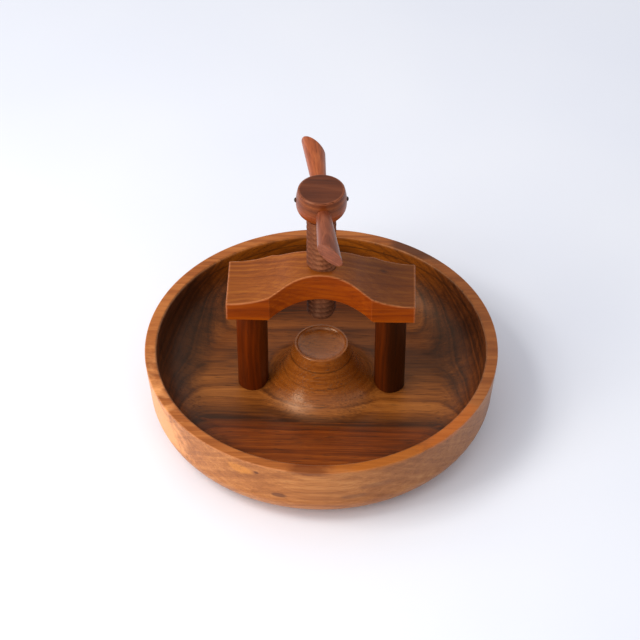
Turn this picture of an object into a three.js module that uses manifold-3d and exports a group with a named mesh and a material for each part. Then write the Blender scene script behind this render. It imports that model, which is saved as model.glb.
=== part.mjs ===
// Nut bowl with a wooden screw press standing in its middle.
// Millimetres, +Z up. The origin is the centre of the bowl's foot, on the table.
// +X runs along the bridge from the left post to the right post; -Y is the front.

import * as THREE from 'three';
import { mergeVertices } from 'three/addons/utils/BufferGeometryUtils.js';
import Module from 'manifold-3d';

const wasm = await Module();
wasm.setup();

// ---- driving dimensions -------------------------------------------------

const GAP = 0.3; // clearance left between neighbouring pieces
const BEYOND = 1; // how far a cutter reaches past the face that it cuts
const WELD = 1e-4; // corners closer together than this are one corner
const FINE = 72; // segments round the bowl
const ROUND = 32; // segments round the posts, the knob and the screw's shoulders
const SLIM = 24; // segments round the arms and the tip
const SMALL = 16; // segments round pins, tenons and steel screws

// How many straight steps stand for each curved stretch of an outline.
const steps = {
  bowlCurve: 7,
  rimEdge: 2,
  flare: 9,
  cup: 5,
  belly: 8,
  crown: 4,
  nose: 5,
  dome: 3,
  bridgeSide: 9,
  bridgePlan: 12,
};

const bowl = {
  rimRadius: 120, // outside of the rim
  rimInner: 111.8, // inside of the rim
  height: 52,
  edge: 1.1, // small rounding of the rim's two edges
  waistRadius: 117.4, // outside radius where the straight wall meets the curve
  waistHeight: 22,
  footRadius: 90,
  footInner: 80, // the foot is a flat ring round a shallow recess
  footRecess: 1.8,
  floorHeight: 16.8, // top of the floor
  floorRadius: 80, // where the floor starts to curve up into the wall
  wallRadius: 110.6, // inside radius where the curve meets the straight wall
  wallHeight: 44,
};

const pedestal = {
  lipRadius: 18.1,
  height: 53.5,
  cupRadius: 16.9, // mouth of the hollow that holds the nut
  cupDepth: 6,
  flareRadius: 48, // where the flare runs out into the floor
  flareFoot: 29, // how far in the flare stays nearly flat
  flareNeck: { radius: 23.5, height: 36.5 }, // where it aims as it rises to the lip
};

const post = {
  x: 46.8, // distance of each post's axis from the middle
  radius: 10.5,
  mortiseDepth: 9, // how far it stands in the bowl's floor
  tenonRadius: 7,
  tenonLength: 9.6,
  shoulder: 92.9, // height of the shoulder that carries the bridge
};

const bridge = {
  halfLength: 62.3,
  halfDepth: 21.4, // half the width front to back, at the ends
  waistHalfDepth: 12.6, // the same in the middle
  waistHalfLength: 33.8, // where the waisted sides start
  underside: 92.9,
  archHalfLength: 34.8, // where the underside starts to arch
  archTop: 104.6,
  top: 125.7, // top of the hump
  humpRadius: 44,
  dishRadius: 66, // hollow curve between the hump and the end
  humpAngle: THREE.MathUtils.degToRad(34), // slope where hump meets hollow
};

const thread = {
  majorRadius: 9.8,
  minorRadius: 8.1,
  pitch: 25.4 / 6, // six turns to the inch, right-hand
  segments: 24,
  clearance: 0.42, // radial play of the tapped hole
  rootEnd: 0.12, // share of the pitch at which the flank leaves the root
  crestStart: 0.47,
  crestEnd: 0.65,
};

const screw = {
  bottom: 83.3, // lowest thread, with the end resting on a nut
  top: 165.5, // shoulder under the knob
  chamfer: 1.7, // bevel that brings the lowest thread down to the core
  tenonRadius: 6,
  tenonTop: 184.5,
};

// The end of the screw's core, which presses on the nut. It is round about the axis and rises
// and falls with the screw, so it is a piece of its own that slides without turning.
const tip = {
  radius: 8,
  bottom: 82,
  rounding: 0.5, // height of its slightly domed face
  stemRadius: 3,
  stemLength: 7,
};

const knob = {
  topRadius: 14.95,
  topHeight: 188.5,
  radius: 16.45, // at its widest
  widestHeight: 178.6,
  bottomHeight: 165.8,
  fullness: 2.5, // exponent of the belly: 2 is an ellipse, more is squarer
};

const arm = {
  height: 179.3, // height of the arms' axis
  yaw: THREE.MathUtils.degToRad(6.6), // turned away from straight front and back
  length: 53.4, // to the middle of the slanted end
  rootRadius: 4.6, // where it leaves the knob
  endRadius: 7.3,
  flareReach: 41, // distance over which it grows from root to end
  rootDistance: 14,
  backing: 4, // extra length behind the root, and how far the tenon runs into the arm
  tenonRadius: 3.6,
  tenonInner: 7.2, // how near the tenon comes to the screw's axis
  cutYaw: THREE.MathUtils.degToRad(48.5), // slant of the end cut, seen from above
  cutPitch: THREE.MathUtils.degToRad(-7.5), // and its lean from upright
};

const pin = {
  yaw: THREE.MathUtils.degToRad(3.5),
  height: 180,
  radius: 1.6,
  stand: 1.1, // how far its domed ends stand proud of the knob
};

const woodScrew = {
  shankRadius: 2.1,
  headRadius: 4.2,
  headHeight: 2.4,
  length: 30,
  pointLength: 4,
  pointRadius: 0.5,
  driveWidth: 1, // slot in the head
  driveDepth: 1.1,
};

// ---- small geometry helpers ---------------------------------------------

const flat = (x, y) => new THREE.Vector2(x, y);

function toSolid(geometry) {
  const plain = geometry.clone();
  plain.deleteAttribute('normal');
  plain.deleteAttribute('uv');
  const merged = mergeVertices(plain, WELD);
  const kept = [];
  for (let i = 0; i < merged.index.count; i += 3) {
    const corners = [0, 1, 2].map((k) => merged.index.getX(i + k));
    if (new Set(corners).size === corners.length) {
      kept.push(...corners);
    }
  }
  const mesh = new wasm.Mesh({
    numProp: 3,
    vertProperties: new Float32Array(merged.attributes.position.array),
    triVerts: new Uint32Array(kept),
  });
  return new wasm.Manifold(mesh);
}

function toGeometry(solid) {
  const mesh = solid.getMesh();
  const geometry = new THREE.BufferGeometry();
  geometry.setAttribute('position', new THREE.BufferAttribute(mesh.vertProperties, 3));
  geometry.setIndex(new THREE.BufferAttribute(mesh.triVerts, 1));
  const faceted = geometry.toNonIndexed();
  faceted.computeVertexNormals();
  return faceted;
}

// A turned piece: the outline is (radius, height) from the bottom of the axis to the top.
function turned(outline, segments = ROUND) {
  const geometry = new THREE.LatheGeometry(outline, segments);
  geometry.rotateX(Math.PI / 2);
  return toSolid(geometry);
}

function cylinder(radius, low, high, segments = ROUND) {
  return turned([flat(0, low), flat(radius, low), flat(radius, high), flat(0, high)], segments);
}

function moved(solid, x, y, z) {
  return solid.translate([x, y, z]);
}

// Points on a quarter of an ellipse, from angle a to angle b.
function ellipse(centreX, centreY, halfX, halfY, a, b, count) {
  const points = [];
  for (let i = 0; i <= count; i += 1) {
    const angle = a + ((b - a) * i) / count;
    points.push(flat(centreX + halfX * Math.cos(angle), centreY + halfY * Math.sin(angle)));
  }
  return points;
}

// ---- the bowl and its pedestal, one turned piece ------------------------

function bowlOutline() {
  const quarter = Math.PI / 2;
  const foot = [
    flat(0, bowl.footRecess),
    flat(bowl.footInner - bowl.footRecess, bowl.footRecess),
    flat(bowl.footInner, 0),
  ];
  const outside = ellipse(
    bowl.footRadius, bowl.waistHeight,
    bowl.waistRadius - bowl.footRadius, bowl.waistHeight, -quarter, 0, steps.bowlCurve,
  );
  const outerEdge = ellipse(
    bowl.rimRadius - bowl.edge, bowl.height - bowl.edge,
    bowl.edge, bowl.edge, 0, quarter, steps.rimEdge,
  );
  const innerEdge = ellipse(
    bowl.rimInner + bowl.edge, bowl.height - bowl.edge,
    bowl.edge, bowl.edge, quarter, 2 * quarter, steps.rimEdge,
  );
  const inside = ellipse(
    bowl.floorRadius, bowl.wallHeight,
    bowl.wallRadius - bowl.floorRadius, bowl.wallHeight - bowl.floorHeight,
    0, -quarter, steps.bowlCurve,
  );
  const flare = new THREE.CubicBezierCurve(
    flat(pedestal.flareRadius, bowl.floorHeight),
    flat(pedestal.flareFoot, bowl.floorHeight),
    flat(pedestal.flareNeck.radius, pedestal.flareNeck.height),
    flat(pedestal.lipRadius, pedestal.height),
  ).getPoints(steps.flare);
  const cup = ellipse(
    0, pedestal.height, pedestal.cupRadius, pedestal.cupDepth, 0, -quarter, steps.cup,
  );
  return [...foot, ...outside, ...outerEdge, ...innerEdge, ...inside, ...flare, ...cup];
}

function makeBowl() {
  let solid = turned(bowlOutline(), FINE);
  for (const side of [-1, 1]) {
    const seat = bowl.floorHeight - post.mortiseDepth;
    const mortise = cylinder(post.radius + GAP, seat, bowl.height);
    const head = woodScrew.headRadius + GAP;
    const shank = woodScrew.shankRadius + GAP;
    const low = bowl.footRecess + GAP;
    const countersink = turned([
      flat(0, -BEYOND),
      flat(head, -BEYOND),
      flat(head, low),
      flat(shank, low + woodScrew.headHeight),
      flat(shank, seat + BEYOND),
      flat(0, seat + BEYOND),
    ], SMALL);
    solid = solid.subtract(moved(mortise, side * post.x, 0, 0));
    solid = solid.subtract(moved(countersink, side * post.x, 0, 0));
  }
  return solid;
}

// ---- posts and the hidden screws that hold them -------------------------

function makePost() {
  const seat = bowl.floorHeight - post.mortiseDepth + GAP;
  const shoulder = post.shoulder - GAP;
  const blank = turned([
    flat(0, seat),
    flat(post.radius, seat),
    flat(post.radius, shoulder),
    flat(post.tenonRadius, shoulder),
    flat(post.tenonRadius, shoulder + post.tenonLength),
    flat(0, shoulder + post.tenonLength),
  ]);
  const pilotTop = bowl.footRecess + woodScrew.length + BEYOND;
  const pilot = cylinder(woodScrew.shankRadius + GAP, seat - BEYOND, pilotTop, SMALL);
  return blank.subtract(pilot);
}

function makePostScrew() {
  const low = bowl.footRecess;
  const point = low + woodScrew.length;
  const body = turned([
    flat(0, low),
    flat(woodScrew.headRadius, low),
    flat(woodScrew.shankRadius, low + woodScrew.headHeight),
    flat(woodScrew.shankRadius, point - woodScrew.pointLength),
    flat(woodScrew.pointRadius, point),
    flat(0, point),
  ], SMALL);
  const slot = new THREE.BoxGeometry(
    3 * woodScrew.headRadius, woodScrew.driveWidth, 2 * woodScrew.driveDepth,
  );
  return body.subtract(moved(toSolid(slot), 0, 0, low));
}

// ---- the bridge ---------------------------------------------------------

function bridgeSide() {
  const b = bridge;
  const hump = { x: 0, z: b.top - b.humpRadius };
  const reach = b.humpRadius + b.dishRadius;
  const dish = {
    x: reach * Math.sin(b.humpAngle),
    z: hump.z + reach * Math.cos(b.humpAngle),
  };
  const slope = b.humpAngle;
  const endAngle = Math.acos((b.halfLength - dish.x) / b.dishRadius);
  const rise = b.archTop - b.underside;
  const archRadius = (b.archHalfLength ** 2 + rise ** 2) / (2 * rise);
  const archAngle = Math.asin(b.archHalfLength / archRadius);
  const up = Math.PI / 2;

  const shape = new THREE.Shape();
  shape.moveTo(-b.halfLength, b.underside);
  shape.lineTo(-b.archHalfLength, b.underside);
  shape.absarc(0, b.archTop - archRadius, archRadius, up + archAngle, up - archAngle, true);
  shape.lineTo(b.halfLength, b.underside);
  shape.absarc(dish.x, dish.z, b.dishRadius, -endAngle, -up - slope, true);
  shape.absarc(hump.x, hump.z, b.humpRadius, up - slope, up + slope, false);
  shape.absarc(-dish.x, dish.z, b.dishRadius, -up + slope, Math.PI + endAngle, true);
  return shape;
}

function bridgePlan() {
  const b = bridge;
  const inset = b.halfDepth - b.waistHalfDepth;
  const radius = (b.waistHalfLength ** 2 + inset ** 2) / (2 * inset);
  const angle = Math.asin(b.waistHalfLength / radius);
  const up = Math.PI / 2;

  const shape = new THREE.Shape();
  shape.moveTo(-b.halfLength, -b.halfDepth);
  shape.lineTo(-b.waistHalfLength, -b.halfDepth);
  shape.absarc(0, -b.waistHalfDepth - radius, radius, up + angle, up - angle, true);
  shape.lineTo(b.halfLength, -b.halfDepth);
  shape.lineTo(b.halfLength, b.halfDepth);
  shape.lineTo(b.waistHalfLength, b.halfDepth);
  shape.absarc(0, b.waistHalfDepth + radius, radius, -up + angle, -up - angle, true);
  shape.lineTo(-b.halfLength, b.halfDepth);
  return shape;
}

function makeBridge() {
  const depth = 3 * bridge.halfDepth;
  const side = new THREE.ExtrudeGeometry(bridgeSide(), {
    depth,
    bevelEnabled: false,
    curveSegments: steps.bridgeSide,
  });
  side.rotateX(Math.PI / 2);
  side.translate(0, depth / 2, 0);
  const plan = new THREE.ExtrudeGeometry(bridgePlan(), {
    depth: 2 * bridge.top,
    bevelEnabled: false,
    curveSegments: steps.bridgePlan,
  });
  let solid = toSolid(side).intersect(toSolid(plan));
  const mortiseTop = bridge.underside + post.tenonLength + GAP;
  const mortise = cylinder(post.tenonRadius + GAP, bridge.underside - BEYOND, mortiseTop);
  for (const x of [-post.x, post.x]) {
    solid = solid.subtract(moved(mortise, x, 0, 0));
  }
  const tapTop = bridge.top + 2 * thread.pitch;
  return solid.subtract(threadedBlank(thread.clearance, bridge.underside, tapTop));
}

// ---- the wooden screw ---------------------------------------------------

// A helical ridge on a core, as one closed surface. Each row of points climbs one pitch in
// a full turn, so the last point of a row is the first point of the row one pitch higher.
function threadedBlank(swell, low, high) {
  const { majorRadius, minorRadius, pitch, segments } = thread;
  const stations = [
    [0, minorRadius],
    [thread.rootEnd, minorRadius],
    [thread.crestStart, majorRadius],
    [thread.crestEnd, majorRadius],
  ];
  const perTurn = stations.length;
  const first = Math.floor(low / pitch);
  const turns = Math.ceil((high - low) / pitch) + 1;
  const rows = turns * perTurn;
  const positions = [];
  const point = (row, column) => {
    const [phase, radius] = stations[row % perTurn];
    const angle = (2 * Math.PI * column) / segments;
    const height = pitch * (first + Math.floor(row / perTurn) + phase + column / segments);
    const r = radius + swell;
    positions.push(r * Math.cos(angle), r * Math.sin(angle), height);
  };
  for (let row = 0; row < rows; row += 1) {
    for (let column = 0; column < segments; column += 1) {
      point(row, column);
    }
  }
  for (let row = rows; row < rows + perTurn; row += 1) {
    point(row, 0);
  }
  const index = (row, column) => {
    const wrapped = column === segments ? row + perTurn : row;
    const inGrid = wrapped < rows;
    return inGrid ? wrapped * segments + (column % segments) : rows * segments + wrapped - rows;
  };

  const faces = [];
  for (let row = 0; row < rows - 1; row += 1) {
    for (let column = 0; column < segments; column += 1) {
      const a = index(row, column);
      const b = index(row, column + 1);
      const c = index(row + 1, column + 1);
      const d = index(row + 1, column);
      faces.push(a, b, c, a, c, d);
    }
  }
  const bottomLoop = endLoop(0, index, segments, perTurn);
  const topLoop = endLoop(rows - 1, index, segments, perTurn);
  closeEnd(positions, faces, bottomLoop, pitch * first, true);
  closeEnd(positions, faces, topLoop, pitch * (first + turns + 1), false);

  const geometry = new THREE.BufferGeometry();
  geometry.setAttribute('position', new THREE.BufferAttribute(new Float32Array(positions), 3));
  geometry.setIndex(faces);
  return toSolid(geometry);
}

// The edge of one end: once round along the helix, then back down the step to its start.
function endLoop(row, index, segments, perTurn) {
  const loop = [];
  for (let column = 0; column < segments; column += 1) {
    loop.push(index(row, column));
  }
  for (let step = perTurn; step > 0; step -= 1) {
    loop.push(index(row + step, 0));
  }
  return loop;
}

function closeEnd(positions, faces, loop, height, facesDown) {
  const centre = positions.length / 3;
  positions.push(0, 0, height);
  loop.forEach((from, i) => {
    const to = loop[(i + 1) % loop.length];
    faces.push(centre, ...(facesDown ? [to, from] : [from, to]));
  });
}

function makeScrew() {
  const { majorRadius, pitch } = thread;
  const envelope = turned([
    flat(0, screw.bottom),
    flat(majorRadius - screw.chamfer, screw.bottom),
    flat(majorRadius + BEYOND, screw.bottom + screw.chamfer + BEYOND),
    flat(majorRadius + BEYOND, screw.top),
    flat(0, screw.top),
  ]);
  const blank = threadedBlank(0, screw.bottom - 2 * pitch, screw.top + pitch);
  const threaded = blank.intersect(envelope);
  const tenon = cylinder(screw.tenonRadius, screw.top - pitch, screw.tenonTop);
  const socketTop = screw.bottom + tip.stemLength + GAP;
  const socket = cylinder(tip.stemRadius + GAP, screw.bottom - BEYOND, socketTop, SMALL);
  return threaded.add(tenon).subtract(socket).subtract(pinBlank(GAP));
}

function makeTip() {
  const top = screw.bottom - GAP;
  const stemTop = screw.bottom + tip.stemLength - GAP;
  const nose = ellipse(
    0, tip.bottom + tip.rounding, tip.radius, tip.rounding, -Math.PI / 2, 0, steps.nose,
  );
  return turned([
    ...nose,
    flat(tip.radius, top),
    flat(tip.stemRadius, top),
    flat(tip.stemRadius, stemTop),
    flat(0, stemTop),
  ], SLIM);
}

// ---- knob, handle arms and the pin through them -------------------------

function knobOutline() {
  const drop = knob.widestHeight - knob.bottomHeight;
  const belly = [];
  const power = 2 / knob.fullness;
  for (let i = 0; i <= steps.belly; i += 1) {
    const angle = (Math.PI / 2) * (i / steps.belly);
    const r = knob.radius * Math.sin(angle) ** power;
    const z = knob.widestHeight - drop * Math.cos(angle) ** power;
    belly.push(flat(r, z));
  }
  const lean = Math.acos(knob.topRadius / knob.radius);
  const crownHeight = (knob.topHeight - knob.widestHeight) / Math.sin(lean);
  const crown = ellipse(0, knob.widestHeight, knob.radius, crownHeight, 0, lean, steps.crown);
  return [...belly, ...crown.slice(1), flat(0, knob.topHeight)];
}

function makeKnob() {
  const socketBottom = knob.bottomHeight - BEYOND;
  const socket = cylinder(screw.tenonRadius + GAP, socketBottom, screw.tenonTop + GAP);
  const armHole = cylinder(
    arm.tenonRadius + GAP, arm.tenonInner - GAP, knob.radius + BEYOND, SMALL,
  );
  let solid = turned(knobOutline()).subtract(socket).subtract(pinBlank(GAP));
  for (const turn of [0, Math.PI]) {
    solid = solid.subtract(placedArm(armHole, turn));
  }
  return solid;
}

function armBlank() {
  const start = arm.rootDistance;
  const grown = arm.endRadius - arm.rootRadius;
  const flareAt = (distance) => arm.rootRadius + (grown * (distance - start)) / arm.flareReach;
  const far = arm.length + 2 * arm.endRadius;
  const blank = turned([
    flat(0, start - arm.backing),
    flat(flareAt(start), start - arm.backing),
    flat(flareAt(start), start),
    flat(flareAt(far), far),
    flat(0, far),
  ], SLIM);
  return blank.subtract(endCut());
}

// Everything beyond the slanted end: a big block standing on the plane of the cut. The arm
// lies along +Z here, with the row's up direction along -X and its long side towards +Y.
function endCut() {
  const size = 10 * arm.endRadius;
  const block = new THREE.BoxGeometry(size, size, size);
  block.translate(0, 0, size / 2);
  block.rotateX(arm.cutYaw);
  block.rotateY(-arm.cutPitch);
  block.translate(0, 0, arm.length);
  return toSolid(block);
}

// Lays a piece that stands on +Z along the arm's direction: to the front, or turned half round.
function placedArm(solid, turn) {
  const lay = new THREE.Matrix4().makeBasis(
    new THREE.Vector3(0, 0, -1),
    new THREE.Vector3(1, 0, 0),
    new THREE.Vector3(0, -1, 0),
  );
  const swing = new THREE.Matrix4().makeRotationZ(arm.yaw + turn);
  const lift = new THREE.Matrix4().makeTranslation(0, 0, arm.height);
  return solid.transform(lift.multiply(swing).multiply(lay).elements);
}

function makeArm(turn) {
  const tenonEnd = arm.rootDistance + arm.backing;
  const tenon = cylinder(arm.tenonRadius, arm.tenonInner, tenonEnd, SMALL);
  const shaped = placedArm(armBlank(), turn).subtract(turned(swollenKnob()));
  return shaped.add(placedArm(tenon, turn));
}

// The knob's outline grown by the clearance, to fit the arm's shoulder to the knob's side.
function swollenKnob() {
  return knobOutline().map((p) => flat(p.x > 0 ? p.x + GAP : 0, p.y));
}

function pinBlank(swell) {
  const half = knob.radius + pin.stand;
  const body = half - pin.stand;
  const dome = ellipse(0, body, pin.radius + swell, pin.stand, 0, Math.PI / 2, steps.dome);
  const mirrored = dome.map((p) => flat(p.x, -p.y)).reverse();
  const turnedPin = turned([...mirrored, ...dome], SMALL);
  const along = turnedPin.rotate([0, 90, 0]).rotate([0, 0, THREE.MathUtils.radToDeg(pin.yaw)]);
  return moved(along, 0, 0, pin.height);
}

// ---- assembly -----------------------------------------------------------

const finishes = {
  bowlWood: { color: 0x9a5a2c, roughness: 0.45 },
  bridgeWood: { color: 0xa8611f, roughness: 0.45 },
  postWood: { color: 0x5c2c12, roughness: 0.5 },
  screwWood: { color: 0x5a3a2c, roughness: 0.65 },
  handleWood: { color: 0x9a5a42, roughness: 0.45 },
  pinWood: { color: 0x2a1a16, roughness: 0.5 },
  steel: { color: 0xb8b4ae, roughness: 0.4, metalness: 1 },
};

const group = new THREE.Group();

function place(name, solid, finish, x = 0) {
  const material = new THREE.MeshStandardMaterial({ metalness: 0, ...finishes[finish] });
  const mesh = new THREE.Mesh(toGeometry(solid), material);
  mesh.name = name;
  mesh.position.x = x;
  group.add(mesh);
}

place('bowl', makeBowl(), 'bowlWood');
place('bridge', makeBridge(), 'bridgeWood');
for (const [side, x] of [['left', -post.x], ['right', post.x]]) {
  place(`${side}_post`, makePost(), 'postWood', x);
  place(`${side}_post_screw`, makePostScrew(), 'steel', x);
}
place('press_screw', makeScrew(), 'screwWood');
place('screw_tip', makeTip(), 'screwWood');
place('knob', makeKnob(), 'handleWood');
place('front_arm', makeArm(0), 'handleWood');
place('rear_arm', makeArm(Math.PI), 'handleWood');
place('cross_pin', pinBlank(0), 'pinWood');

export default group;
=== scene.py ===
"""A turned wooden nut bowl with a wooden screw press standing in its middle.

Lengths in the tables below are millimetres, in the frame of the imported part: the origin is the
centre of the bowl's foot, +Z is up, +X runs from the left post to the right one, -Y is the front.
"""

import math

import bmesh
import bpy
import numpy as np
from mathutils import Matrix, Vector, noise


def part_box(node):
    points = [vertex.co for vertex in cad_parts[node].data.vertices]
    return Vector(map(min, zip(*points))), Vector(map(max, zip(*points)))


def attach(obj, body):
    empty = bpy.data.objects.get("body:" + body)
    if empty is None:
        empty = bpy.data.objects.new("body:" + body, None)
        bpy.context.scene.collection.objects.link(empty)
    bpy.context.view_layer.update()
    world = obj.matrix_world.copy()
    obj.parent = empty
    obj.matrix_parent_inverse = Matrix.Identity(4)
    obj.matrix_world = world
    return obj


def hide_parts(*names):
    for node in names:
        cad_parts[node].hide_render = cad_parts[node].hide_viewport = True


MM = 0.001
QUARTER = math.pi / 2  # a quarter turn

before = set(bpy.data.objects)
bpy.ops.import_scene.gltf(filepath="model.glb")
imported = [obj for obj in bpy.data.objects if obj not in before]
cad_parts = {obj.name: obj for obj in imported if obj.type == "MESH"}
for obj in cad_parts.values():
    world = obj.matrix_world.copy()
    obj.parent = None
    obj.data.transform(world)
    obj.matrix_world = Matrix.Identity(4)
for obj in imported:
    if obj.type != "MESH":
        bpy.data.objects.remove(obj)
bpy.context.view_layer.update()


def extent(node):
    """Lowest and highest corner of a CAD node, in millimetres."""
    low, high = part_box(node)
    return low / MM, high / MM


# ---- sizes ----------------------------------------------------------------

bowl_high = extent("bowl")[1]
bridge_low, bridge_high = extent("bridge")
post_low, post_high = extent("right_post")
screw_low, screw_high = extent("press_screw")
tip_low, tip_high = extent("screw_tip")
knob_low, knob_high = extent("knob")
steel_low, steel_high = extent("right_post_screw")

HAIRLINE = 0.08  # the joint between two glued or fitted pieces
HOLD = 1.7  # how far a rounded corner's holding points stand off, in corner radii

BOWL = {
    "rim": bowl_high.x,  # outside radius of the rim
    "rim_inner": 111.8,
    "height": 52.0,
    "outer_edge": 0.8,  # rounding of the rim's edges
    "inner_edge": 2.2,
    "waist": 117.4,  # where the straight outer wall meets the curve below it
    "waist_height": 22.0,
    "foot": 90.0,
    "foot_inner": 80.0,
    "recess": 1.8,
    "floor": 16.8,
    "floor_radius": 80.0,
    "wall": 110.6,
    "wall_height": 44.0,
    "segments": 288,
}
# Wear and painted highlight on the rim's edges, 0 to 1. The outer edge gets more left of this x, where the
# light falls.
RIM_WEAR_AND_HIGHLIGHT = {"left": 0.65, "right": 0.25, "inner": 0.3, "left_of": -20.0}
PEDESTAL = {
    "lip": 18.1,
    "lip_edge": 0.5,
    "height": bowl_high.z,
    "cup": 16.9,
    "cup_depth": 6.0,
    "flare": 48.0,
    "flare_foot": 29.0,
    "neck_radius": 23.5,
    "neck_height": 36.5,
}
POST = {
    "x": (post_low.x + post_high.x) / 2,
    "radius": (post_high.x - post_low.x) / 2,
    "bottom": post_low.z,
    "tenon": 7.0,
    "shoulder": bridge_low.z,
    "top": post_high.z,
    "foot_bevel": 0.6,
    "shoulder_edge": 0.3,
}
SIDES = {"left": -POST["x"], "right": POST["x"]}
BRIDGE = {
    "half_length": bridge_high.x,
    "half_depth": bridge_high.y,
    "waist_depth": 12.6,  # half the depth in the middle
    "waist_length": 33.8,  # where the waisted sides start
    "underside": bridge_low.z,
    "arch_length": 34.8,
    "arch_top": 104.6,
    "top": bridge_high.z,
    "hump": 44.0,
    "dish": 66.0,
    "hump_angle": math.radians(34),
    "edge": 0.7,  # wear on the long edges
}
THREAD_DEPTH = 1.7
THREAD = {
    "major": screw_high.x,
    "minor": screw_high.x - THREAD_DEPTH,
    "pitch": 25.4 / 6,
    "clearance": 0.42,
    "root_end": 0.12,
    "crest_start": 0.47,
    "crest_end": 0.65,
}
SCREW = {
    "bottom": screw_low.z,
    "shoulder": 165.5,
    "tenon": 6.0,
    "top": screw_high.z,
    "chamfer": 1.7,
}
TIP = {
    "radius": tip_high.x,
    "bottom": tip_low.z,
    "top": tip_high.z,
    "rounding": 0.5,
    "stem": 3.0,
}
KNOB = {
    "top_radius": 14.95,
    "top": knob_high.z,
    "radius": knob_high.x,
    "widest": 178.6,
    "bottom": knob_low.z,
    "fullness": 2.5,
    "edge": 0.8,
}
ARM = {
    "height": 179.3,
    "yaw": math.radians(6.6),
    "length": 53.4,
    "root": 4.6,
    "end": 7.3,
    "reach": 41.0,
    "start": 14.0,
    "backing": 4.0,  # extra length behind the root, and the tenon's depth in the arm
    "tenon": 3.6,
    "tenon_inner": 7.2,
    "cut_yaw": math.radians(48.5),
    "cut_pitch": math.radians(-7.5),
    "edge": 0.7,
    "segments": 96,
}
PIN = {"yaw": math.radians(3.5), "height": 180.0, "radius": 1.6, "stand": 1.1}
STEEL = {
    "shank": 2.1,
    "head": 4.2,
    "head_height": 2.4,
    "edge": 0.2,
    "point": 4.0,  # length of the tapering end
    "point_radius": 0.4,
    "bottom": steel_low.z,
    "top": steel_high.z,
    "slot_width": 1.0,
    "slot_depth": 1.1,
}
VIEW = {
    "elevation": math.radians(43.04),
    "azimuth": math.radians(1.585),
    "distance": 1470.8,
    "target_side": -0.9,
    "target_height": 74.4,
    "lens": 122.95,
    "sensor": 36.0,
}


# ---- outlines -------------------------------------------------------------

def arc(centre, half, start, end, steps):
    """Points on an ellipse from one angle to another."""
    angles = np.linspace(start, end, steps + 1)
    return [
        (centre[0] + half[0] * math.cos(a), centre[1] + half[1] * math.sin(a))
        for a in angles
    ]


def bezier(a, b, c, d, steps):
    """Points on a cubic curve."""
    points = []
    for t in np.linspace(0, 1, steps + 1):
        s = 1 - t
        weights = (s ** 3, 3 * s * s * t, 3 * s * t * t, t ** 3)
        points.append(tuple(sum(w * p[i] for w, p in zip(weights, (a, b, c, d))) for i in (0, 1)))
    return points


def corner(before, at, after, radius, steps=4):
    """A corner rounded off: a short curve, with a holding point just outside each end of it."""
    before, at, after = (np.array(p, float) for p in (before, at, after))
    towards = (before - at) / np.linalg.norm(before - at)
    away = (after - at) / np.linalg.norm(after - at)
    points = [at + HOLD * radius * towards]
    for t in np.linspace(0, 1, steps + 1):
        s = 1 - t
        points.append(s * s * (at + radius * towards) + 2 * s * t * at + t * t * (at + radius * away))
    points.append(at + HOLD * radius * away)
    return [tuple(p) for p in points]


# ---- meshes ---------------------------------------------------------------

def new_object(name, vertices, faces):
    """A mesh object in metres from millimetre vertices, with its faces looking outwards."""
    mesh = bpy.data.meshes.new(name)
    mesh.from_pydata([[c * MM for c in v] for v in vertices], [], faces)
    shape = bmesh.new()
    shape.from_mesh(mesh)
    bmesh.ops.recalc_face_normals(shape, faces=shape.faces)
    shape.to_mesh(mesh)
    shape.free()
    piece = bpy.data.objects.new(name, mesh)
    bpy.context.scene.collection.objects.link(piece)
    return piece


def lathe(name, outline, segments=96):
    """A turned piece from (radius, height) points, bottom of the axis to the top."""
    vertices, rings, faces = [], [], []
    for radius, height in outline:
        if radius < 1e-6:
            rings.append([len(vertices)])
            vertices.append((0, 0, height))
            continue
        rings.append(range(len(vertices), len(vertices) + segments))
        for i in range(segments):
            angle = 2 * math.pi * i / segments
            vertices.append((radius * math.cos(angle), radius * math.sin(angle), height))
    for low, high in zip(rings, rings[1:]):
        for i in range(segments):
            j = (i + 1) % segments
            if len(low) == 1:
                faces.append((low[0], high[j], high[i]))
            elif len(high) == 1:
                faces.append((low[i], low[j], high[0]))
            else:
                faces.append((low[i], low[j], high[j], high[i]))
    return new_object(name, vertices, faces)


def loft(name, sections):
    """A closed skin through equal rows of points, with a flat face at each end."""
    count = len(sections[0])
    vertices = [p for section in sections for p in section]
    faces = []
    for row in range(len(sections) - 1):
        for i in range(count):
            j = (i + 1) % count
            a, b = row * count, (row + 1) * count
            faces.append((a + i, a + j, b + j, b + i))
    faces.append(tuple(range(count)))
    faces.append(tuple(len(vertices) - count + i for i in range(count)))
    return new_object(name, vertices, faces)


def combine(piece, tool, operation):
    """Cuts, joins or intersects with another closed piece, which is used up."""
    modifier = piece.modifiers.new("combine", "BOOLEAN")
    modifier.operation = operation
    modifier.solver = "EXACT"
    modifier.object = tool
    graph = bpy.context.evaluated_depsgraph_get()
    result = bpy.data.meshes.new_from_object(piece.evaluated_get(graph))
    piece.modifiers.clear()
    piece.data = result
    bpy.data.objects.remove(tool)
    return piece


def cylinder(radius, low, high, segments=64):
    return lathe("tool", [(0, low), (radius, low), (radius, high), (0, high)], segments)


def block(size, height):
    """A box of the given size, centred on the axis at a height."""
    mesh = bpy.data.meshes.new("tool")
    shape = bmesh.new()
    bmesh.ops.create_cube(shape, size=1)
    bmesh.ops.scale(shape, vec=Vector(size) * MM, verts=shape.verts)
    bmesh.ops.translate(shape, vec=(0, 0, height * MM), verts=shape.verts)
    shape.to_mesh(mesh)
    shape.free()
    tool = bpy.data.objects.new("tool", mesh)
    bpy.context.scene.collection.objects.link(tool)
    return tool


def shifted(piece, x):
    """Moves a piece sideways."""
    piece.data.transform(Matrix.Translation(Vector((x, 0, 0)) * MM))
    return piece


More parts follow.
